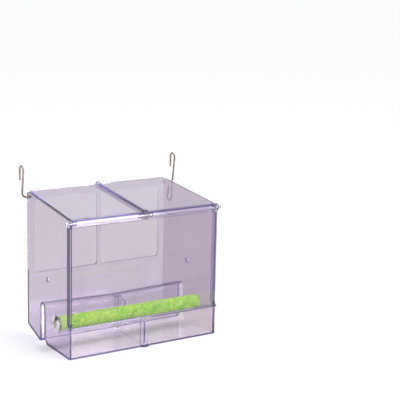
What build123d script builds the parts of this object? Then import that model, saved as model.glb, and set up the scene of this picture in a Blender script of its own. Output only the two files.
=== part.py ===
from build123d import *
import os
from math import cos, radians, tan

# A clear hanging cage feeder: a one-piece moulded housing with a seed tray in front of a hollow
# saddle wall, a separate front window, two lids on a common hinge line with a bar between them,
# a sanded perch clamped through the side wall, and two wire hooks.
# Millimetres. X is the width, Y runs from the window to the back, +Z is up.
# The origin is on the tray's underside, on the centre line and half way along the body's depth.

# --- Driving dimensions: body ---
BODY_DEPTH = 104.0          # window face to back wall face
FRONT_WIDTH = 175.0         # across the side walls at the window
BACK_WIDTH = 170.0          # across the side walls at the back
WALL = 2.0                  # general wall thickness
FRONT_Y = -BODY_DEPTH / 2
BACK_Y = BODY_DEPTH / 2
GAP = 0.25                  # fitting gap between separate mouldings
FUSE = 0.5                  # overlap where two features of one moulding join
REACH = 200.0               # longer than the body, for through cuts

# --- Tray, saddle and rear floor (depths are measured back from the window face) ---
LEDGE_Z = 31.0              # top of the tray front
TRAY_FLOOR_END = 56.0       # where the flat floor turns up
TRAY_BEND_Z = 6.5           # where the turned-up floor meets the saddle
TRAY_CORNER_R = 1.5
SADDLE_DEPTH = 66.5         # centre line of the saddle
SADDLE_OUTER_R = 6.9
SADDLE_WALL = 2.2
SADDLE_TOP_Z = 41.2         # at the centre line, rising to both sides
SADDLE_RISE_DEG = 1.7
REAR_FLOOR_Z = 9.5          # underside of the rear floor where it meets the back
REAR_CORNER_R = 4.0

# --- Back wall ---
SILL_Z = 66.0               # bottom edge of the two entries
ENTRY_TOP_Z = 146.0
STILE_WIDTH = 9.0           # back wall left beside each entry
POST_WIDTH = 4.6            # back wall left between the entries
ENTRY_CORNER_R = 3.0

# --- Hinge line and lids ---
HINGE_DEPTH = 2.2
HINGE_Z = 140.8
BARREL_R = 3.7
LID_SLOPE_DEG = 6.4
LID_THICKNESS = 2.0
LID_SIDE_GAP = 0.8          # lid edge to the side wall's inner face
BARREL_SIDE_GAP = 0.3
LID_OVERHANG = 0.8          # behind the back wall
LID_CORNER_R = 3.0
EAR_R = 4.2                 # rounded lug of the side wall around the hinge pin
WALL_TOP_DROP = 0.5         # side wall top below the lid's top face
HINGE_Y = FRONT_Y + HINGE_DEPTH

# --- Hinge pins ---
PIN_R = 1.5
PIN_PRESS_GAP = 0.02
PIN_RUNNING_GAP = 0.05
PIN_REACH = 4.5             # into the lid's barrel
PIN_COLLAR_R = 2.9
PIN_COLLAR_LENGTH = 1.3
PIN_NECK_LENGTH = 1.2
PIN_KNOB_R = 2.3
PIN_KNOB_LENGTH = 2.4

# --- Centre bar ---
BAR_WIDTH = 4.5
BAR_PROUD = 2.0             # above the lids
BAR_FLANGE_WIDTH = 11.0
BAR_FLANGE_THICKNESS = 1.4
BAR_LID_GAP = 0.35
BAR_OVERHANG = 2.0
BAR_CROWN_R = 1.2

# --- Front window ---
COLUMN_WIDTH = 2.6          # corner columns, seen from the front
COLUMN_DEPTH = 7.0          # corner columns, seen from the side
COLUMN_TOP_Z = 136.2        # under the side wall's lug
PANE_TOP_Z = 136.8          # just under the lids' barrels
COLUMN_HEEL_Z = 35.5        # where the column's lower end starts to slope forward
COLUMN_TOE_DEPTH = 1.2
LIP_PROUD = 1.3             # flared bottom lip in front of the window
LIP_HEIGHT = 2.6
LIP_END_PROUD = 1.2         # lip beyond the side walls
GATE_MARK_X = -8.0
GATE_MARK_Z = 99.0
GATE_MARK_R = 1.3
GATE_MARK_HEIGHT = 0.35

# --- Tray divider and its guides ---
DIVIDER_THICKNESS = 1.8
DIVIDER_FRONT_Z = 29.0
DIVIDER_REAR_Z = 40.4
DIVIDER_DIP_Z = 19.8
DIVIDER_TOP_DROP = 1.0      # below the tops of its guides
GUIDE_RIB_WIDTH = 2.7
GUIDE_RIB_DEPTH = 3.0
GUIDE_GAP = 0.2
REAR_GUIDE_LOW_Z = 3.6      # inside the turned-up floor
FOOT_WIDTH = 9.0
FOOT_HEIGHT = 3.5
FOOT_PROUD = 1.2

# --- Perch and its fixings ---
PERCH_DEPTH = 32.0
PERCH_Z = 29.7
SLEEVE_R = 7.75
CORE_R = 5.0
SLEEVE_FIT_GAP = 0.05
SLEEVE_CHAMFER = 1.4
PERCH_END_GAP = 0.5         # perch end to the side wall
STUD_R = 2.0
STUD_IN_CORE = 14.0
STUD_OUTSIDE = 4.9
STUD_HOLE_GAP = 0.08
WASHER_R = 8.5
WASHER_RIM = 0.6            # thickness of the dished outer washer at its rim
WASHER_CROWN_R = 4.4        # where its slope meets the flat round the nut
WASHER_THICKNESS = 1.9
INNER_WASHER_R = 7.2
INNER_WASHER_THICKNESS = 0.9
WASHER_BORE_GAP = 0.1
WASHER_STAND_OFF = 0.3      # clears the tapered wall
NUT_ACROSS_FLATS = 7.0
NUT_HEX_LENGTH = 2.0
NUT_DOME_R = 4.0
NUT_DOME_RISE = 1.9         # above the hexagon
NUT_BORE_DEPTH = 3.2
PEG_R = 2.5
PEG_IN_CORE = 9.0
PEG_OUTSIDE = 1.4
PEG_HOLE_GAP = 0.05

# --- Side holes and hooks ---
SIDE_HOLE_DEPTH = 53.5
SIDE_HOLE_Z = 71.0
SIDE_HOLE_R = 2.8
WIRE_R = 1.0
WIRE_HOLE_GAP = 0.05
HOOK_DEPTH = 99.7
HOOK_Z = 150.0
HOOK_STAND_OUT = 7.7        # stem centre line beyond the side wall
HOOK_LEAN = 4.5             # stem top ahead of the hole
HOOK_HEIGHT = 33.3
HOOK_LOOP_WIDTH = 9.2
HOOK_TIP_DROP = 15.5
HOOK_FOOT_R = 5.0
HOOK_HEAD_R = 2.0
HOOK_HEAD_LENGTH = 1.2
HOOK_HEAD_GAP = 0.2


def at_depth(depth):
    """Y of a plane that lies this far behind the window face."""
    return FRONT_Y + depth


def half_width(y):
    """Half the body's outer width at y; the side walls spread towards the window."""
    spread = (FRONT_WIDTH - BACK_WIDTH) / 2
    return BACK_WIDTH / 2 + spread * (BACK_Y - y) / BODY_DEPTH


def lid_top(depth):
    """Height of the closed lids' top face at this depth."""
    slope = radians(LID_SLOPE_DEG)
    return HINGE_Z + BARREL_R / cos(slope) + (depth - HINGE_DEPTH) * tan(slope)


def plan_block(inset, front, back, low, high):
    """Upright block with the body's tapered plan, its side faces inset from the body's."""
    corners = [
        (-half_width(front) + inset, front),
        (half_width(front) - inset, front),
        (half_width(back) - inset, back),
        (-half_width(back) + inset, back),
    ]
    face = make_face(Polyline(*corners, close=True))
    return Pos(0, 0, low) * extrude(face, high - low, dir=(0, 0, 1))


def side_face(outline, rounded=()):
    """Flat face at x = 0 from (depth, z) corners; rounded lists (corner index, radius)."""
    points = [(0, at_depth(depth), z) for depth, z in outline]
    face = make_face(Polyline(*points, close=True))
    for index, radius in rounded:
        corner = face.vertices().sort_by_distance(points[index])[0]
        face = fillet(corner, radius)
    return face


def across(face, half_length):
    """Extrudes a side face to both sides of the centre line."""
    return extrude(face, half_length, dir=(1, 0, 0), both=True)


def rod(radius, x_start, x_end, depth, z):
    """Cylinder along X."""
    length = x_end - x_start
    return Pos((x_start + x_end) / 2, at_depth(depth), z) * Rot(0, 90, 0) * Cylinder(radius, length)


def on_slope(shape):
    """Moves a shape from the lid's own frame, with the hinge axis as its X axis, into place."""
    return Pos(0, HINGE_Y, HINGE_Z) * Rot(LID_SLOPE_DEG, 0, 0) * shape


def slope_block(x_start, x_end, v_start, v_end, w_start, w_end):
    """Box in the lid's frame: v runs back along the lid, w is square to it."""
    size = (x_end - x_start, v_end - v_start, w_end - w_start)
    centre = ((x_start + x_end) / 2, (v_start + v_end) / 2, (w_start + w_end) / 2)
    return Pos(*centre) * Box(*size)


OUTER = plan_block(0, FRONT_Y - LIP_PROUD - WALL, BACK_Y, 0, lid_top(BODY_DEPTH))
INNER_WIDE = plan_block(WALL, -BODY_DEPTH, BODY_DEPTH, -REACH, REACH)


# --- Housing ---

def side_walls():
    wall_top_front = lid_top(HINGE_DEPTH) - WALL_TOP_DROP
    wall_top_back = lid_top(BODY_DEPTH) - WALL_TOP_DROP
    column_back = COLUMN_DEPTH + GAP
    saddle_back = SADDLE_DEPTH + SADDLE_OUTER_R
    outline = [
        (0, 0),
        (0, LEDGE_Z),
        (COLUMN_TOE_DEPTH, LEDGE_Z),
        (column_back, COLUMN_HEEL_Z),
        (column_back, COLUMN_TOP_Z + 2 * GAP),
        (HINGE_DEPTH, COLUMN_TOP_Z + 2 * GAP),
        (HINGE_DEPTH, wall_top_front),
        (BODY_DEPTH, wall_top_back),
        (BODY_DEPTH, REAR_FLOOR_Z),
        (saddle_back, 0),
        (saddle_back - SADDLE_WALL, 0),
        (saddle_back - SADDLE_WALL, SADDLE_WALL),
        (SADDLE_DEPTH - SADDLE_OUTER_R + SADDLE_WALL, SADDLE_WALL),
        (SADDLE_DEPTH - SADDLE_OUTER_R + SADDLE_WALL, TRAY_BEND_Z),
        (TRAY_FLOOR_END, 0),
    ]
    slab = across(side_face(outline, [(0, TRAY_CORNER_R), (7, REAR_CORNER_R), (8, REAR_CORNER_R)]), REACH)
    ears = rod(EAR_R, -REACH, REACH, HINGE_DEPTH, HINGE_Z)
    return ((slab + ears) & OUTER) - INNER_WIDE


def tray_pan():
    leg_front = SADDLE_DEPTH - SADDLE_OUTER_R
    leg_back = leg_front + SADDLE_WALL
    outline = [
        (0, LEDGE_Z),
        (0, 0),
        (TRAY_FLOOR_END, 0),
        (leg_back, TRAY_BEND_Z),
        (leg_back, TRAY_BEND_Z + WALL),
        (leg_front, TRAY_BEND_Z + WALL),
        (leg_front, TRAY_BEND_Z),
        (TRAY_FLOOR_END - WALL / 2, WALL),
        (WALL, WALL),
        (WALL, LEDGE_Z),
    ]
    return across(side_face(outline, [(1, TRAY_CORNER_R)]), REACH) & OUTER


def rear_pan():
    leg_back = SADDLE_DEPTH + SADDLE_OUTER_R
    back_inner = BODY_DEPTH - WALL
    outline = [
        (leg_back - SADDLE_WALL, 0),
        (leg_back, 0),
        (BODY_DEPTH, REAR_FLOOR_Z),
        (BODY_DEPTH, lid_top(back_inner) - LID_THICKNESS - GAP),
        (back_inner, lid_top(back_inner) - LID_THICKNESS - GAP),
        (back_inner, REAR_FLOOR_Z + WALL),
        (leg_back, WALL),
        (leg_back - SADDLE_WALL, WALL),
    ]
    return across(side_face(outline, [(2, REAR_CORNER_R)]), REACH) & OUTER


def entries():
    inner = half_width(BACK_Y) - STILE_WIDTH
    width = inner - POST_WIDTH / 2
    height = ENTRY_TOP_Z - SILL_Z
    opening = extrude(Plane.XZ * RectangleRounded(width, height, ENTRY_CORNER_R), 2 * WALL, both=True)
    middle_x = POST_WIDTH / 2 + width / 2
    middle_z = (ENTRY_TOP_Z + SILL_Z) / 2
    return [Pos(side * middle_x, BACK_Y, middle_z) * opening for side in (-1, 1)]


def saddle_half(side, radius):
    """One half of an arched wall that rises from the centre line to a side wall."""
    arch_z = SADDLE_TOP_Z - SADDLE_OUTER_R
    legs = Pos(at_depth(SADDLE_DEPTH), arch_z - REACH / 2) * Rectangle(2 * radius, REACH)
    arch = Pos(at_depth(SADDLE_DEPTH), arch_z) * Circle(radius)
    face = Plane.YZ * (legs + arch)
    rise = radians(SADDLE_RISE_DEG)
    return extrude(face, REACH / 2 / cos(rise), dir=(side, 0, tan(rise)))


def below_tray_bend():
    """Space in front of the saddle's centre line and under the tray's turned-up floor."""
    depth = SADDLE_OUTER_R + FUSE
    middle_y = at_depth(SADDLE_DEPTH - depth / 2)
    return Pos(0, middle_y, TRAY_BEND_Z - REACH / 2) * Box(2 * REACH, depth, REACH)


def guide_ribs(depth_start, depth_end, low, high):
    """Pair of ribs that hold one edge of the tray divider."""
    offset = DIVIDER_THICKNESS / 2 + GUIDE_GAP + GUIDE_RIB_WIDTH / 2
    length = depth_end - depth_start
    rib = Box(GUIDE_RIB_WIDTH, length, high - low)
    middle = (at_depth(depth_start) + length / 2, (low + high) / 2)
    return [Pos(side * offset, *middle) * rib for side in (-1, 1)]


def front_foot():
    """Rounded pad at the lower end of the front guide."""
    pad = Box(FOOT_WIDTH, FOOT_PROUD + WALL, FOOT_HEIGHT)
    pad = fillet(pad.edges().filter_by(Axis.Y), FOOT_HEIGHT / 3)
    return Pos(0, at_depth((WALL - FOOT_PROUD) / 2), FOOT_HEIGHT / 2) * pad


def housing_holes():
    yield rod(STUD_R + STUD_HOLE_GAP, -REACH / 2, 0, PERCH_DEPTH, PERCH_Z)
    yield rod(PEG_R + PEG_HOLE_GAP, 0, REACH / 2, PERCH_DEPTH, PERCH_Z)
    yield rod(SIDE_HOLE_R, -REACH / 2, REACH / 2, SIDE_HOLE_DEPTH, SIDE_HOLE_Z)
    yield rod(WIRE_R + WIRE_HOLE_GAP, -REACH / 2, REACH / 2, HOOK_DEPTH, HOOK_Z)
    yield rod(PIN_R + PIN_PRESS_GAP, -REACH / 2, REACH / 2, HINGE_DEPTH, HINGE_Z)


def housing_shell():
    leg_front = SADDLE_DEPTH - SADDLE_OUTER_R
    shell = side_walls() + tray_pan() + rear_pan()
    for side in (-1, 1):
        shell += (saddle_half(side, SADDLE_OUTER_R) & OUTER) - below_tray_bend()
    for rib in guide_ribs(leg_front - GUIDE_RIB_DEPTH, SADDLE_DEPTH, REAR_GUIDE_LOW_Z, DIVIDER_REAR_Z):
        shell += rib - below_tray_bend()
    for side in (-1, 1):
        shell -= saddle_half(side, SADDLE_OUTER_R - SADDLE_WALL)
    for rib in guide_ribs(WALL - FUSE, WALL + GUIDE_RIB_DEPTH, WALL - FUSE, DIVIDER_FRONT_Z):
        shell += rib
    shell += front_foot()
    for opening in entries():
        shell -= opening
    for hole in housing_holes():
        shell -= hole
    return shell


# --- Parts fixed to the housing ---

def front_window():
    outline = [
        (0, LEDGE_Z + GAP),
        (0, COLUMN_TOP_Z),
        (COLUMN_DEPTH, COLUMN_TOP_Z),
        (COLUMN_DEPTH, COLUMN_HEEL_Z + 2 * GAP),
        (COLUMN_TOE_DEPTH, LEDGE_Z + GAP),
    ]
    columns = across(side_face(outline), REACH) & OUTER
    columns -= plan_block(COLUMN_WIDTH, -BODY_DEPTH, BODY_DEPTH, 0, REACH)
    low = LEDGE_Z + GAP
    pane = plan_block(COLUMN_WIDTH - FUSE, FRONT_Y, FRONT_Y + WALL, low, PANE_TOP_Z)
    lip_outline = [
        (COLUMN_TOE_DEPTH, low),
        (-LIP_PROUD, low),
        (-LIP_PROUD, low + LIP_HEIGHT / 4),
        (0, low + LIP_HEIGHT),
        (COLUMN_TOE_DEPTH, low + LIP_HEIGHT),
    ]
    lip = across(side_face(lip_outline, [(2, LIP_HEIGHT / 4)]), half_width(FRONT_Y) + LIP_END_PROUD)
    mark = Rot(90, 0, 0) * Cylinder(GATE_MARK_R, GATE_MARK_HEIGHT + FUSE)
    mark = Pos(GATE_MARK_X, FRONT_Y + (FUSE - GATE_MARK_HEIGHT) / 2, GATE_MARK_Z) * mark
    return columns + pane + lip + mark


def tray_divider():
    front = WALL + GUIDE_GAP
    rear = SADDLE_DEPTH - SADDLE_OUTER_R - GUIDE_GAP
    dip_front = PERCH_DEPTH - SLEEVE_R - WALL
    dip_rear = PERCH_DEPTH + SLEEVE_R + WALL
    outline = [
        (front, WALL + GUIDE_GAP),
        (front, DIVIDER_FRONT_Z - DIVIDER_TOP_DROP),
        (dip_front - WALL, DIVIDER_FRONT_Z - DIVIDER_TOP_DROP),
        (dip_front, DIVIDER_DIP_Z),
        (dip_rear, DIVIDER_DIP_Z),
        (dip_rear + WALL, DIVIDER_REAR_Z - DIVIDER_TOP_DROP),
        (rear, DIVIDER_REAR_Z - DIVIDER_TOP_DROP),
        (rear, TRAY_BEND_Z + WALL),
        (TRAY_FLOOR_END - 2 * WALL, WALL + GUIDE_GAP),
    ]
    face = side_face(outline, [(3, WALL), (4, WALL), (2, WALL), (5, WALL)])
    return across(face, DIVIDER_THICKNESS / 2)


def centre_bar():
    half_bar = BAR_WIDTH / 2
    half_flange = BAR_FLANGE_WIDTH / 2
    underside = BARREL_R - LID_THICKNESS
    slope = radians(LID_SLOPE_DEG)
    back_v = (BODY_DEPTH - WALL - 2 * GAP - HINGE_DEPTH) / cos(slope)
    end_v = (BODY_DEPTH + BAR_OVERHANG - HINGE_DEPTH) / cos(slope)
    flange_top = underside - GAP
    web = slope_block(-half_bar, half_bar, 0, end_v, underside, BARREL_R + BAR_PROUD)
    web = fillet(web.edges().filter_by(Axis.Y).group_by(Axis.Z)[-1], BAR_CROWN_R)
    stem = slope_block(-half_bar, half_bar, 0, back_v, flange_top - FUSE, underside + FUSE)
    flange_front = BARREL_R + 2 * GAP
    flange_low = flange_top - BAR_FLANGE_THICKNESS
    flange = slope_block(-half_flange, half_flange, flange_front, back_v, flange_low, flange_top)
    bar = on_slope(web + stem + flange)
    bar += rod(BARREL_R, -half_bar, half_bar, HINGE_DEPTH, HINGE_Z)
    heel_low = PANE_TOP_Z + GAP
    heel = Box(BAR_WIDTH, BARREL_R, HINGE_Z - heel_low)
    bar += Pos(0, HINGE_Y, (HINGE_Z + heel_low) / 2) * heel
    return bar - rod(PIN_R + PIN_PRESS_GAP, -half_bar, half_bar, HINGE_DEPTH, HINGE_Z)


def hinge_pin_left():
    ear_outside = -half_width(HINGE_Y) - GAP
    collar_end = ear_outside - PIN_COLLAR_LENGTH
    neck_end = collar_end - PIN_NECK_LENGTH
    knob_end = neck_end - PIN_KNOB_LENGTH
    inner_end = -half_width(HINGE_Y) + WALL + BARREL_SIDE_GAP + PIN_REACH
    pin = rod(PIN_R, neck_end - FUSE, inner_end, HINGE_DEPTH, HINGE_Z)
    pin += rod(PIN_COLLAR_R, collar_end, ear_outside, HINGE_DEPTH, HINGE_Z)
    knob = rod(PIN_KNOB_R, knob_end, neck_end, HINGE_DEPTH, HINGE_Z)
    knob = fillet(knob.edges().sort_by(Axis.X)[0], PIN_KNOB_R / 2)
    return pin + knob


def hinge_pin_centre():
    reach = BAR_WIDTH / 2 + BAR_LID_GAP + PIN_REACH
    return rod(PIN_R, -reach, reach, HINGE_DEPTH, HINGE_Z)


# --- Lids ---

def lid_left():
    inner_x = -BAR_WIDTH / 2 - BAR_LID_GAP
    slope = radians(LID_SLOPE_DEG)
    length = (BODY_DEPTH + LID_OVERHANG - HINGE_DEPTH) / cos(slope)
    side_inset = WALL + LID_SIDE_GAP
    front_x = -half_width(HINGE_Y) + side_inset
    back_x = -half_width(BACK_Y) + side_inset
    corners = [(inner_x, 0), (inner_x, length), (back_x, length), (front_x, 0)]
    face = make_face(Polyline(*corners, close=True))
    for corner, radius in ((corners[1], LID_CORNER_R / 4), (corners[2], LID_CORNER_R)):
        face = fillet(face.vertices().sort_by_distance(corner)[0], radius)
    plate = Pos(0, 0, BARREL_R - LID_THICKNESS) * extrude(face, LID_THICKNESS, dir=(0, 0, 1))
    barrel_end = -half_width(HINGE_Y) + WALL + BARREL_SIDE_GAP
    lid = on_slope(plate) + rod(BARREL_R, barrel_end, inner_x, HINGE_DEPTH, HINGE_Z)
    bore = PIN_R + PIN_RUNNING_GAP
    bore_end = PIN_REACH + 2 * GAP
    lid -= rod(bore, barrel_end, barrel_end + bore_end, HINGE_DEPTH, HINGE_Z)
    lid -= rod(bore, inner_x - bore_end, inner_x, HINGE_DEPTH, HINGE_Z)
    return lid


# --- Perch ---

PERCH_Y = at_depth(PERCH_DEPTH)
WALL_OUTSIDE = half_width(PERCH_Y)
WALL_INSIDE = WALL_OUTSIDE - WALL
PERCH_LEFT_X = -WALL_INSIDE + WASHER_STAND_OFF + INNER_WASHER_THICKNESS + WASHER_BORE_GAP
PERCH_RIGHT_X = WALL_INSIDE - PERCH_END_GAP


def perch_rod(radius, x_start, x_end):
    return rod(radius, x_start, x_end, PERCH_DEPTH, PERCH_Z)


def perch_core():
    core = perch_rod(CORE_R, PERCH_LEFT_X, PERCH_RIGHT_X)
    core -= perch_rod(STUD_R + PIN_PRESS_GAP, PERCH_LEFT_X, PERCH_LEFT_X + STUD_IN_CORE)
    return core - perch_rod(PEG_R + PIN_PRESS_GAP, PERCH_RIGHT_X - PEG_IN_CORE, PERCH_RIGHT_X)


def perch_sand_sleeve():
    sleeve = perch_rod(SLEEVE_R, PERCH_LEFT_X, PERCH_RIGHT_X)
    sleeve = chamfer(sleeve.edges().sort_by(Axis.X)[-1], SLEEVE_CHAMFER)
    return sleeve - perch_rod(CORE_R + SLEEVE_FIT_GAP, PERCH_LEFT_X, PERCH_RIGHT_X)


def perch_stud():
    return perch_rod(STUD_R, -WALL_OUTSIDE - STUD_OUTSIDE, PERCH_LEFT_X + STUD_IN_CORE - GAP)


def perch_end_peg():
    peg = perch_rod(PEG_R, PERCH_RIGHT_X - PEG_IN_CORE + GAP, WALL_OUTSIDE + PEG_OUTSIDE)
    return fillet(peg.edges().sort_by(Axis.X)[-1], PEG_R / 4)


OUTER_WASHER_X = -WALL_OUTSIDE - WASHER_STAND_OFF - WASHER_THICKNESS


def perch_outer_washer():
    """Dished washer: a thin rim that slopes up to a flat round the nut."""
    rise = WASHER_THICKNESS - WASHER_RIM
    rim_x = OUTER_WASHER_X + rise
    slope = Rot(0, -90, 0) * Cone(WASHER_R, WASHER_CROWN_R, rise)
    disc = Pos(rim_x - rise / 2, PERCH_Y, PERCH_Z) * slope
    disc += perch_rod(WASHER_R, rim_x, rim_x + WASHER_RIM)
    return disc - perch_rod(STUD_R + WASHER_BORE_GAP, OUTER_WASHER_X, rim_x + WASHER_RIM)


def perch_inner_washer():
    start = -WALL_INSIDE + WASHER_STAND_OFF
    disc = perch_rod(INNER_WASHER_R, start, start + INNER_WASHER_THICKNESS)
    disc = fillet(disc.edges(), INNER_WASHER_THICKNESS / 4)
    return disc - perch_rod(STUD_R + WASHER_BORE_GAP, start, start + INNER_WASHER_THICKNESS)


def perch_cap_nut():
    base_x = OUTER_WASHER_X - WASHER_BORE_GAP
    hexagon = RegularPolygon(NUT_ACROSS_FLATS / 2, 6, major_radius=False)
    nut = Rot(0, -90, 0) * extrude(hexagon, NUT_HEX_LENGTH)
    dome = Pos(NUT_DOME_R - NUT_DOME_RISE - NUT_HEX_LENGTH, 0, 0) * Sphere(NUT_DOME_R)
    beyond = Pos(-REACH / 2 - NUT_HEX_LENGTH + FUSE, 0, 0) * Box(REACH, REACH, REACH)
    nut += dome & beyond & Rot(0, 90, 0) * Cylinder(NUT_ACROSS_FLATS / 2, REACH)
    bore = Pos(-NUT_BORE_DEPTH / 2, 0, 0) * Rot(0, 90, 0) * Cylinder(STUD_R + PIN_RUNNING_GAP, NUT_BORE_DEPTH)
    return Pos(base_x, PERCH_Y, PERCH_Z) * (nut - bore)


# --- Hooks ---

def hook_left():
    y = at_depth(HOOK_DEPTH)
    inside = -half_width(y) + WALL + HOOK_HEAD_GAP
    stem_x = -half_width(y) - HOOK_STAND_OUT
    loop_y = y - HOOK_LEAN
    top_z = HOOK_Z + HOOK_HEIGHT
    route = [
        (inside, y, HOOK_Z),
        (stem_x, y, HOOK_Z),
        (stem_x, loop_y, top_z),
        (stem_x, loop_y + HOOK_LOOP_WIDTH, top_z),
        (stem_x, loop_y + HOOK_LOOP_WIDTH, top_z - HOOK_TIP_DROP),
    ]
    loop_r = HOOK_LOOP_WIDTH / 2 - HOOK_HEAD_GAP
    path = FilletPolyline(*route, radius=[HOOK_FOOT_R, loop_r, loop_r])
    section = Plane(origin=route[0], z_dir=(-1, 0, 0)) * Circle(WIRE_R)
    wire = sweep(section, path=path)
    return wire + rod(HOOK_HEAD_R, inside, inside + HOOK_HEAD_LENGTH, HOOK_DEPTH, HOOK_Z)


def mirrored(shape):
    """The same piece for the other side of the centre line."""
    return mirror(shape, about=Plane.YZ)


PARTS = {
    "housing_shell": housing_shell(),
    "front_window": front_window(),
    "tray_divider": tray_divider(),
    "centre_bar": centre_bar(),
    "hinge_pin_left": hinge_pin_left(),
    "hinge_pin_right": mirrored(hinge_pin_left()),
    "hinge_pin_centre": hinge_pin_centre(),
    "lid_left": lid_left(),
    "lid_right": mirrored(lid_left()),
    "perch_core": perch_core(),
    "perch_sand_sleeve": perch_sand_sleeve(),
    "perch_stud": perch_stud(),
    "perch_end_peg": perch_end_peg(),
    "perch_inner_washer": perch_inner_washer(),
    "perch_outer_washer": perch_outer_washer(),
    "perch_cap_nut": perch_cap_nut(),
    "hook_left": hook_left(),
    "hook_right": mirrored(hook_left()),
}

os.makedirs("parts", exist_ok=True)
for name, shape in PARTS.items():
    export_step(shape, f"parts/{name}.step")
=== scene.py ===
import math

import bpy
from mathutils import Matrix, Vector, noise


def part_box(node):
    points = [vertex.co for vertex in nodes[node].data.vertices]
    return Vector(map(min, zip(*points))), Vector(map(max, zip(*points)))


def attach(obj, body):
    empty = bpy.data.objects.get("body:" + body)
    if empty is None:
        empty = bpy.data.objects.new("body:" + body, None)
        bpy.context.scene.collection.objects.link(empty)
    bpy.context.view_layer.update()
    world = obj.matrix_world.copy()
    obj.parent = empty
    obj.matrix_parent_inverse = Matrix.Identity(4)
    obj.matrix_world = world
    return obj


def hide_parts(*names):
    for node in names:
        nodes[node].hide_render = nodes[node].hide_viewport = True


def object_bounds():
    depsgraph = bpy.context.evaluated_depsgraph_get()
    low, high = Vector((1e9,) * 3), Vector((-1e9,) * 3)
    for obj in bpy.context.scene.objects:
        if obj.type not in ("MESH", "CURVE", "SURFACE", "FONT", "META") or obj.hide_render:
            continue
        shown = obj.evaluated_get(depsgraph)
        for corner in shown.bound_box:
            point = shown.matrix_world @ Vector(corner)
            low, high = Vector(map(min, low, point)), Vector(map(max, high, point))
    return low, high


# A clear hanging cage feeder with a sanded perch. Metres, in the part's own frame.
# The CAD pieces stay as they are and get their plastics and metals here. The perch's sand
# coating is a new piece with real grains.

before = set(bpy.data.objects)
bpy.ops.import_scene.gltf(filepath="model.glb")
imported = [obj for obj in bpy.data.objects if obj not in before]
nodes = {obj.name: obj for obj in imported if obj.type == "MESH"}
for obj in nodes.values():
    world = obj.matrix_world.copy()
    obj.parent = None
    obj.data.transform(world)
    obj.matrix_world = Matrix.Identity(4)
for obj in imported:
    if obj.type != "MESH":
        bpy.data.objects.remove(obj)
cad_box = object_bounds()

MM = 0.001

# --- Camera ---
CAMERA_PLACE = (-0.6031, -1.0575, 0.4065)
CAMERA_YAW = math.radians(33.597)
CAMERA_PITCH = math.radians(11.954)
CAMERA_ROLL = math.radians(1.367)
CAMERA_LENS = 105.7
CAMERA_SENSOR = 36.0
CLIP_START = 0.05
CLIP_END = 200.0

# --- Side holes ---
SIDE_HOLE = (1.5 * MM, 71.0 * MM)       # y and z of the two holes' axis
SIDE_HOLE_RIM = 3.2 * MM

# --- Studio ---
FLOOR_SIZE = 60.0
FLOOR_DROP = 0.2 * MM       # keeps the floor clear of the tray's underside
SKY = ((0.0, 0.62), (0.7, 1.0))     # brightness by the height of the direction
SUN_FROM = (0.25, -0.35, 0.9)
SUN_STRENGTH = 1.3
SUN_ANGLE = math.radians(30.0)
LIGHT_TARGET = (-0.04, -0.05, 0.14)
KEY_PLACE = (0.68, -1.42, 0.50)
KEY_SIZE = (0.27, 0.55)
KEY_POWER = 6.0
FILL_PLACE = (0.5, -1.1, 1.4)
FILL_SIZE = (1.0, 1.0)
FILL_POWER = 9.5
PATH_BOUNCES = 32           # light crosses many clear walls
CARD_PLACE = (-1.05, 1.00, 0.26)    # dark card that only reflections see
CARD_SIZE = (1.2, 0.5)


# --- Material helpers ---

# The Mix node has sockets of the same name for each kind of value. These are its colour ones.
MIX_COLOUR_A = 6
MIX_COLOUR_B = 7
MIX_COLOUR_RESULT = 2


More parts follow.
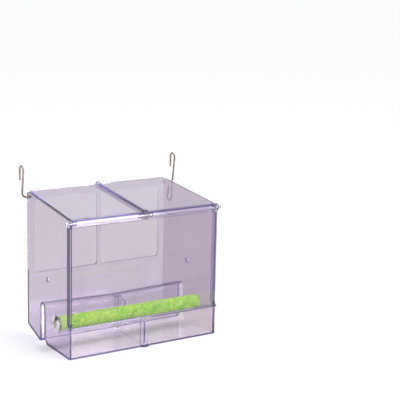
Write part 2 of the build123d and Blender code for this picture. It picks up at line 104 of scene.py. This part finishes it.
class Tree:
    """A material's node tree, with short ways to add and join nodes."""

    def __init__(self, name):
        self.material = bpy.data.materials.new(name)
        self.material.use_nodes = True
        self.nodes = self.material.node_tree.nodes
        self.links = self.material.node_tree.links
        self.shader = self.nodes["Principled BSDF"]
        self.output = self.nodes["Material Output"]
        coordinates = self.nodes.new("ShaderNodeTexCoord").outputs
        self.place = coordinates["Object"]
        self.facing = coordinates["Normal"]

    def add(self, kind, inputs=None, **settings):
        """A new node. An input is either a plain value or a socket to join."""
        node = self.nodes.new("ShaderNode" + kind)
        for key, value in settings.items():
            setattr(node, key, value)
        for key, value in (inputs or {}).items():
            self.feed(node.inputs[key], value)
        return node

    def feed(self, socket, value):
        if isinstance(value, bpy.types.NodeSocket):
            self.links.new(value, socket)
        else:
            socket.default_value = value

    def noise(self, scale, detail=2.0, distortion=0.0, vector=None):
        inputs = {
            "Vector": vector or self.place,
            "Scale": scale,
            "Detail": detail,
            "Distortion": distortion,
        }
        return self.add("TexNoise", inputs).outputs["Fac"]

    def stretched(self, stretch):
        return self.add("Mapping", {"Vector": self.place, "Scale": stretch}).outputs["Vector"]

    def ramp(self, factor, *stops):
        """A colour from stops of (position, (red, green, blue))."""
        node = self.add("ValToRGB", {"Fac": factor})
        elements = node.color_ramp.elements
        while len(elements) < len(stops):
            elements.new(0.5)
        for element, (position, colour) in zip(elements, stops):
            element.position = position
            element.color = (*colour, 1.0)
        return node.outputs["Color"]

    def part(self, vector, axis):
        return self.add("SeparateXYZ", {"Vector": vector}).outputs[axis]

    def math(self, operation, *values):
        return self.add("Math", dict(enumerate(values)), operation=operation).outputs[0]

    def mixed(self, factor, colour_a, colour_b):
        """Colour A where the factor is 0, colour B where it is 1."""
        node = self.add("Mix", data_type="RGBA")
        given = {"Factor": factor, MIX_COLOUR_A: colour_a, MIX_COLOUR_B: colour_b}
        for key, value in given.items():
            self.feed(node.inputs[key], value)
        return node.outputs[MIX_COLOUR_RESULT]

    def scaled(self, factor, low, high):
        node = self.add("MapRange", {"Value": factor, "To Min": low, "To Max": high})
        return node.outputs["Result"]

    def bump(self, height, distance, strength=1.0):
        inputs = {"Height": height, "Distance": distance, "Strength": strength}
        return self.add("Bump", inputs).outputs["Normal"]

    def set(self, **inputs):
        """Inputs of the shader itself, with _ for each space in their names."""
        for key, value in inputs.items():
            self.feed(self.shader.inputs[key.replace("_", " ")], value)


# --- Clear plastic ---

PLASTIC_IOR = 1.57
ABSORB_COLOUR = (0.24, 0.175, 0.60, 1.0)
ABSORB_DENSITY = 32.0
WINDOW_TINTS = ((0.55, 0.475, 0.545), (0.575, 0.50, 0.57))
SIDE_TINTS = ((0.53, 0.455, 0.54), (0.56, 0.48, 0.565))
LID_TINTS = ((0.60, 0.54, 0.635), (0.63, 0.57, 0.665))
INNER_TINTS = ((0.98, 0.97, 0.98), (1.0, 0.99, 1.0))
FAR_SIDE_TINT = (0.74, 0.67, 0.72, 1.0)
BAR_TINTS = ((0.62, 0.57, 0.60), (0.68, 0.63, 0.66))
TRAY_TINT = (0.82, 0.75, 0.75, 1.0)
# Painted shade for the lip at the window's foot, where the moulding shows a dark edge.
LIP_PAINTED_SHADE = (0.40, 0.36, 0.44, 1.0)
BARREL_TINT = (0.86, 0.80, 0.86, 1.0)
# Painted shade for the left face of the left corner column.
COLUMN_PAINTED_SHADE = (0.016, 0.009, 0.085, 1.0)
# Softer painted shade for the right column's left face and round the side holes.
SOFT_PAINTED_SHADE = (0.40, 0.37, 0.56, 1.0)
# Painted shade for the dark lines on the saddle's ridge and along the lid's barrel.
PAINTED_DARK_LINE = (0.04, 0.032, 0.16, 1.0)
SHADOW_TINT = (0.97, 0.96, 0.97, 1.0)
LIP_TOP = 3.0 * MM          # above the window's lower edge
COLUMN_BAND = 3.2 * MM      # in from the housing's outer side faces
RIDGE_Z = 48.0 * MM         # a height a little above the saddle wall's top
SIDE_BAND = 6.0 * MM        # holds the whole thickness of the housing's side walls
# Limits, from -1 to 1, on one part of the surface's direction. They pick out the faces turned
# sideways, up, left, forward and so on.
SIDE_FACING = 0.5
RIDGE_FACING = 0.93
COLUMN_SHADE_FACING = -0.5
BARREL_FACING = -0.2
ROLL_FACING = 0.6
LID_EDGE_FACING = 0.7
UPWARD = (1.0, 1.0, 0.4)        # stretches of the flow waves
BACKWARD = (1.0, 0.4, 1.0)
SIDEWAYS = (0.4, 1.0, 1.0)


def clear_plastic(name, flow_stretch, tints, zones=None):
    """Moulded clear styrene with flow waves and hairline scuffs. The colour drifts between the
    two tints. zones is a function that changes it in part of the piece. Light from the lamps
    passes nearly untinted, which keeps the shadow on the floor pale."""
    tree = Tree(name)
    flow = tree.noise(scale=28.0, detail=2.0, distortion=0.6, vector=tree.stretched(flow_stretch))
    scuff_place = tree.stretched((1.0, 0.35, 0.12))
    scuff = tree.noise(scale=420.0, detail=3.0, distortion=1.5, vector=scuff_place)
    tint = tree.ramp(flow, *zip((0.3, 0.7), tints))
    if zones:
        tint = zones(tree, tint)
    tree.set(
        Base_Color=tint,
        Roughness=tree.scaled(scuff, 0.0, 0.06),
        Normal=tree.bump(flow, 0.00004),
        Transmission_Weight=1.0,
        IOR=PLASTIC_IOR,
    )
    volume = tree.add("VolumeAbsorption", {"Color": ABSORB_COLOUR, "Density": ABSORB_DENSITY})
    tree.links.new(volume.outputs["Volume"], tree.output.inputs["Volume"])
    light_path = tree.add("LightPath")
    lamplight = tree.add("BsdfTransparent", {"Color": SHADOW_TINT})
    mixture = tree.add("MixShader", {0: light_path.outputs["Is Shadow Ray"]})
    tree.links.new(tree.shader.outputs[0], mixture.inputs[1])
    tree.links.new(lamplight.outputs[0], mixture.inputs[2])
    tree.links.new(mixture.outputs[0], tree.output.inputs["Surface"])
    return tree.material


def all_of(tree, first, *others):
    """1 where every mask is 1."""
    for other in others:
        first = tree.math("MULTIPLY", first, other)
    return first


def near_outside(tree, width):
    """1 within this distance of the housing's outer side faces, 0 elsewhere."""
    aside = tree.math("ABSOLUTE", tree.part(tree.place, "X"))
    return tree.math("GREATER_THAN", aside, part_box("housing_shell")[1].x - width)


def sideways(tree, least):
    """1 where the surface faces along the width."""
    return tree.math("GREATER_THAN", tree.math("ABSOLUTE", tree.part(tree.facing, "X")), least)


def on_right(tree):
    """1 in the half of the feeder with x above 0."""
    return tree.math("GREATER_THAN", tree.part(tree.place, "X"), 0.0)


def housing_zones(tree, side):
    """Full tint on the side walls, less on the tray front, nearly clear inside, a painted dark
    line along the saddle's ridge and softer painted shade round the two side holes."""
    side = tree.mixed(on_right(tree), side, FAR_SIDE_TINT)
    at_side = tree.math("MULTIPLY", sideways(tree, SIDE_FACING), near_outside(tree, SIDE_BAND))
    at_front = tree.math("LESS_THAN", tree.part(tree.place, "Y"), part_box("tray_divider")[0].y)
    inner = (*INNER_TINTS[0], 1.0)
    tint = tree.mixed(at_side, tree.mixed(at_front, inner, TRAY_TINT), side)
    # Painted shade: a dark line on the saddle's upward-facing ridge.
    ridge = all_of(
        tree,
        tree.math("GREATER_THAN", tree.part(tree.facing, "Z"), RIDGE_FACING),
        tree.math("GREATER_THAN", tree.part(tree.place, "Z"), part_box("tray_divider")[1].z),
        tree.math("LESS_THAN", tree.part(tree.place, "Z"), RIDGE_Z),
    )
    tint = tree.mixed(ridge, tint, PAINTED_DARK_LINE)
    # Painted shade: a softer dark ring round the two side holes.
    hole_y, hole_z = SIDE_HOLE
    away_y = tree.math("SUBTRACT", tree.part(tree.place, "Y"), hole_y)
    away_z = tree.math("SUBTRACT", tree.part(tree.place, "Z"), hole_z)
    squares = [tree.math("POWER", offset, 2.0) for offset in (away_y, away_z)]
    away = tree.math("SQRT", tree.math("ADD", *squares))
    return tree.mixed(tree.math("LESS_THAN", away, SIDE_HOLE_RIM), tint, SOFT_PAINTED_SHADE)


def window_zones(tree, outer):
    """Painted shade on the left faces of the two corner columns, darker on the left one, and painted
    shade on the lip.
    """
    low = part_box("front_window")[0]
    above_lip = tree.math("GREATER_THAN", tree.part(tree.place, "Z"), low.z + LIP_TOP)
    facing_left = tree.math("LESS_THAN", tree.part(tree.facing, "X"), COLUMN_SHADE_FACING)
    column = all_of(tree, facing_left, near_outside(tree, COLUMN_BAND), above_lip)
    # Painted shade on the columns' left faces, softer on the right column, and on the lip.
    column_shade = tree.mixed(on_right(tree), COLUMN_PAINTED_SHADE, SOFT_PAINTED_SHADE)
    return tree.mixed(column, tree.mixed(above_lip, LIP_PAINTED_SHADE, outer), column_shade)


def lid_zones(tree, outer):
    """A paler barrel and side edges, and a painted dark line where it rolls into the lid's top face.
    """
    up = tree.part(tree.facing, "Z")
    barrel = tree.math("LESS_THAN", tree.part(tree.facing, "Y"), BARREL_FACING)
    # Painted shade: a dark line where the barrel rolls into the lid's top.
    rolled = tree.math("MULTIPLY", tree.math("GREATER_THAN", up, ROLL_FACING), barrel)
    paler = tree.math("MAXIMUM", barrel, sideways(tree, LID_EDGE_FACING))
    return tree.mixed(rolled, tree.mixed(paler, outer, BARREL_TINT), PAINTED_DARK_LINE)


# --- Perch, metals and wood ---

def sanded_green():
    """Neon green sand: fine mottling, pale and dark grains, and a painted glow that lightens the
    sand beyond what the lamps give it.
    """
    tree = Tree("sanded_green")
    patches = tree.noise(scale=620.0, detail=4.0)
    drift = tree.noise(scale=110.0, detail=2.0)
    grains = tree.add("TexVoronoi", {"Vector": tree.place, "Scale": 1300.0})
    speck = tree.part(grains.outputs["Color"], "X")
    mottle = tree.math("ADD", tree.math("MULTIPLY", patches, 0.7), tree.math("MULTIPLY", drift, 0.3))
    colour = tree.ramp(
        mottle,
        (0.41, (0.12, 0.62, 0.006)),
        (0.50, (0.35, 0.87, 0.025)),
        (0.58, (0.66, 0.99, 0.10)),
    )
    colour = tree.mixed(tree.math("LESS_THAN", speck, 0.2), colour, (0.09, 0.48, 0.008, 1.0))
    colour = tree.mixed(tree.math("GREATER_THAN", speck, 0.84), colour, (0.78, 0.98, 0.26, 1.0))
    tree.set(
        Base_Color=colour,
        Roughness=tree.scaled(patches, 0.75, 0.95),
        Normal=tree.bump(grains.outputs["Distance"], 0.00015, 0.8),
        # Painted glow: the emission lightens the sand beyond what the lamps give it.
        Emission_Color=colour,
        Emission_Strength=0.38,
    )
    return tree.material


def dowel_wood():
    """Pale wood with its grain along the perch."""
    tree = Tree("dowel_wood")
    grain_place = tree.stretched((0.08, 1.0, 1.0))
    grain = tree.noise(scale=160.0, detail=4.0, distortion=1.2, vector=grain_place)
    colour = tree.ramp(grain, (0.35, (0.42, 0.25, 0.11)), (0.65, (0.70, 0.50, 0.28)))
    tree.set(
        Base_Color=colour,
        Roughness=tree.scaled(grain, 0.55, 0.8),
        Normal=tree.bump(grain, 0.0002),
    )
    return tree.material


def drawn_wire():
    """Bent steel wire with upright die lines and a warm, slightly dull finish."""
    tree = Tree("drawn_wire")
    lines = tree.noise(scale=2200.0, vector=tree.stretched((1.0, 1.0, 0.03)))
    tarnish = tree.noise(scale=180.0, detail=3.0)
    colour = tree.ramp(tarnish, (0.35, (0.28, 0.23, 0.20)), (0.7, (0.48, 0.42, 0.37)))
    tree.set(
        Base_Color=colour,
        Metallic=1.0,
        Roughness=tree.scaled(tarnish, 0.18, 0.38),
        Normal=tree.bump(lines, 0.00004),
    )
    return tree.material


def plated_chrome(name):
    """Bright plating with a faint haze."""
    tree = Tree(name)
    haze = tree.noise(scale=350.0, detail=3.0, distortion=0.8)
    colour = tree.ramp(haze, (0.3, (0.56, 0.54, 0.54)), (0.7, (0.72, 0.70, 0.70)))
    tree.set(
        Base_Color=colour,
        Metallic=1.0,
        Roughness=tree.scaled(haze, 0.06, 0.16),
        Normal=tree.bump(haze, 0.00003),
    )
    return tree.material


# --- Sand coating ---

GRAIN_CELL = 0.9 * MM
GRAIN_HEIGHT = 0.15 * MM
GRAIN_SPREAD = 0.75         # how far a grain reaches, in cells
SAND_STEP = 0.36 * MM
SLEEVE_GAP = 0.05 * MM      # sleeve to core
SLEEVE_CHAMFER = 1.4 * MM   # at the right end


def grain_height(spot):
    """How far a grain stands up here: rounded tops, one to a cell."""
    nearest = noise.voronoi(spot / GRAIN_CELL)[0][0]
    return GRAIN_HEIGHT * math.sqrt(max(0.0, 1 - (nearest / GRAIN_SPREAD) ** 2))


def sand_sleeve():
    """The perch's sand coating: a thick tube whose outside carries real grains."""
    low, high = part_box("perch_sand_sleeve")
    core_low, core_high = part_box("perch_core")
    centre_y, centre_z = (low.y + high.y) / 2, (low.z + high.z) / 2
    outer = (high.z - low.z) / 2
    inner = (core_high.z - core_low.z) / 2 + SLEEVE_GAP
    base = outer - GRAIN_HEIGHT
    straight = high.x - SLEEVE_CHAMFER - low.x
    around = round(2 * math.pi * outer / SAND_STEP)
    along = round((high.x - low.x) / SAND_STEP)
    profile = [(low.x, inner)]
    profile += [(low.x + straight * i / along, base) for i in range(along + 1)]
    profile.append((high.x - SLEEVE_CHAMFER / 2, base - SLEEVE_CHAMFER / 2))
    profile.append((high.x, outer - SLEEVE_CHAMFER))
    profile.append((high.x, inner))
    verts, faces = [], []
    for x, radius in profile:
        for k in range(around):
            angle = 2 * math.pi * k / around
            spot = Vector((x, radius * math.cos(angle), radius * math.sin(angle)))
            sanded = radius > inner + SLEEVE_CHAMFER / 2
            reach = radius + grain_height(spot) if sanded else radius
            verts.append((x, centre_y + reach * math.cos(angle), centre_z + reach * math.sin(angle)))
    for ring in range(len(profile)):
        onward = (ring + 1) % len(profile)
        for k in range(around):
            beside = (k + 1) % around
            here, there = ring * around, onward * around
            faces.append((here + k, there + k, there + beside, here + beside))
    mesh = bpy.data.meshes.new("perch_sand")
    mesh.from_pydata(verts, [], faces)
    mesh.shade_smooth()
    sand = bpy.data.objects.new("perch_sand", mesh)
    bpy.context.scene.collection.objects.link(sand)
    mesh.materials.append(sanded_green())
    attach(sand, "perch")
    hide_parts("perch_sand_sleeve")


def dress(material, *names):
    """Gives these CAD nodes this material, in place of what they had."""
    for name in names:
        mesh = nodes[name].data
        mesh.materials.clear()
        mesh.materials.append(material)


# --- Studio ---

def camera():
    """Placed and turned by the values at the top. A camera looks along its own -Z."""
    sight = Vector(
        (
            math.sin(CAMERA_YAW) * math.cos(CAMERA_PITCH),
            math.cos(CAMERA_YAW) * math.cos(CAMERA_PITCH),
            -math.sin(CAMERA_PITCH),
        )
    )
    right = Vector((math.cos(CAMERA_YAW), -math.sin(CAMERA_YAW), 0.0))
    up = right.cross(sight)
    axis_x = right * math.cos(CAMERA_ROLL) + up * math.sin(CAMERA_ROLL)
    axis_y = up * math.cos(CAMERA_ROLL) - right * math.sin(CAMERA_ROLL)
    turn = Matrix((axis_x, axis_y, -sight)).transposed()
    data = bpy.data.cameras.new("camera")
    data.lens = CAMERA_LENS
    data.sensor_width = CAMERA_SENSOR
    data.clip_start = CLIP_START
    data.clip_end = CLIP_END
    view = bpy.data.objects.new("camera", data)
    view.matrix_world = Matrix.Translation(CAMERA_PLACE) @ turn.to_4x4()
    bpy.context.scene.collection.objects.link(view)
    bpy.context.scene.camera = view


def softbox(name, place, size, power):
    """Rectangular lamp, aimed at the feeder, that the camera doesn't see."""
    data = bpy.data.lights.new(name, "AREA")
    data.shape = "RECTANGLE"
    data.size, data.size_y = size
    data.energy = power
    lamp = bpy.data.objects.new(name, data)
    lamp.location = place
    lamp.rotation_euler = (Vector(LIGHT_TARGET) - Vector(place)).to_track_quat("-Z", "Y").to_euler()
    lamp.visible_camera = False
    bpy.context.scene.collection.objects.link(lamp)
    return lamp


def flat_panel(name, width, height):
    """Upward-facing rectangle round its own origin; the caller places it."""
    x, y = width / 2, height / 2
    mesh = bpy.data.meshes.new(name)
    mesh.from_pydata([(-x, -y, 0), (x, -y, 0), (x, y, 0), (-x, y, 0)], [], [(0, 1, 2, 3)])
    panel = bpy.data.objects.new(name, mesh)
    bpy.context.scene.collection.objects.link(panel)
    return panel


def paper(name, dark, light):
    """Matt grey paper whose fibres run between these two brightnesses."""
    tree = Tree(name)
    fibres = tree.noise(scale=900.0, detail=3.0)
    tree.set(
        Base_Color=tree.ramp(fibres, (0.0, (dark,) * 3), (1.0, (light,) * 3)),
        Roughness=0.9,
    )
    return tree.material


def sky():
    """Grey surroundings that brighten with height."""
    world = bpy.data.worlds.new("studio")
    world.use_nodes = True
    tree = world.node_tree
    direction = tree.nodes.new("ShaderNodeTexCoord").outputs["Generated"]
    split = tree.nodes.new("ShaderNodeSeparateXYZ")
    tree.links.new(direction, split.inputs[0])
    fade = tree.nodes.new("ShaderNodeValToRGB")
    tree.links.new(split.outputs["Z"], fade.inputs["Fac"])
    for element, (position, grey) in zip(fade.color_ramp.elements, SKY):
        element.position = position
        element.color = (grey, grey, grey, 1.0)
    tree.links.new(fade.outputs["Color"], tree.nodes["Background"].inputs["Color"])
    bpy.context.scene.world = world


def studio():
    """Paper floor, dark card, sky, an overhead sun and two softboxes."""
    floor = flat_panel("floor", FLOOR_SIZE, FLOOR_SIZE)
    floor.location.z = cad_box[0].z - FLOOR_DROP
    floor.data.materials.append(paper("floor_paper", 0.72, 0.75))

    card = flat_panel("dark_card", *CARD_SIZE)
    card.location = CARD_PLACE
    card.rotation_euler = Vector(CARD_PLACE).to_track_quat("Z", "Y").to_euler()
    card.data.materials.append(paper("dark_paper", 0.01, 0.03))
    card.visible_camera = False
    card.visible_diffuse = False
    card.visible_transmission = False
    card.visible_shadow = False

    sky()
    sun = bpy.data.lights.new("overhead", "SUN")
    sun.energy = SUN_STRENGTH
    sun.angle = SUN_ANGLE
    lamp = bpy.data.objects.new("overhead", sun)
    lamp.rotation_euler = Vector(SUN_FROM).to_track_quat("Z", "Y").to_euler()
    bpy.context.scene.collection.objects.link(lamp)
    softbox("key", KEY_PLACE, KEY_SIZE, KEY_POWER)
    softbox("fill", FILL_PLACE, FILL_SIZE, FILL_POWER).visible_glossy = False

    bpy.context.scene.view_settings.view_transform = "Standard"
    bpy.context.scene.cycles.max_bounces = PATH_BOUNCES
    bpy.context.scene.cycles.transmission_bounces = PATH_BOUNCES
    bpy.context.scene.cycles.glossy_bounces = PATH_BOUNCES


camera()
studio()
dress(clear_plastic("clear_moulding", UPWARD, SIDE_TINTS, housing_zones), "housing_shell")
dress(clear_plastic("clear_divider", UPWARD, INNER_TINTS), "tray_divider")
dress(clear_plastic("clear_window", UPWARD, WINDOW_TINTS, window_zones), "front_window")
dress(clear_plastic("clear_bar", BACKWARD, BAR_TINTS), "centre_bar")
dress(clear_plastic("clear_lid", BACKWARD, LID_TINTS, lid_zones), "lid_left", "lid_right")
dress(
    clear_plastic("clear_pin", SIDEWAYS, INNER_TINTS),
    "hinge_pin_left",
    "hinge_pin_right",
    "hinge_pin_centre",
)
dress(dowel_wood(), "perch_core", "perch_end_peg")
dress(plated_chrome("plated_chrome"), "perch_inner_washer", "perch_outer_washer", "perch_cap_nut")
dress(plated_chrome("zinc_stud"), "perch_stud")
dress(drawn_wire(), "hook_left", "hook_right")
sand_sleeve()
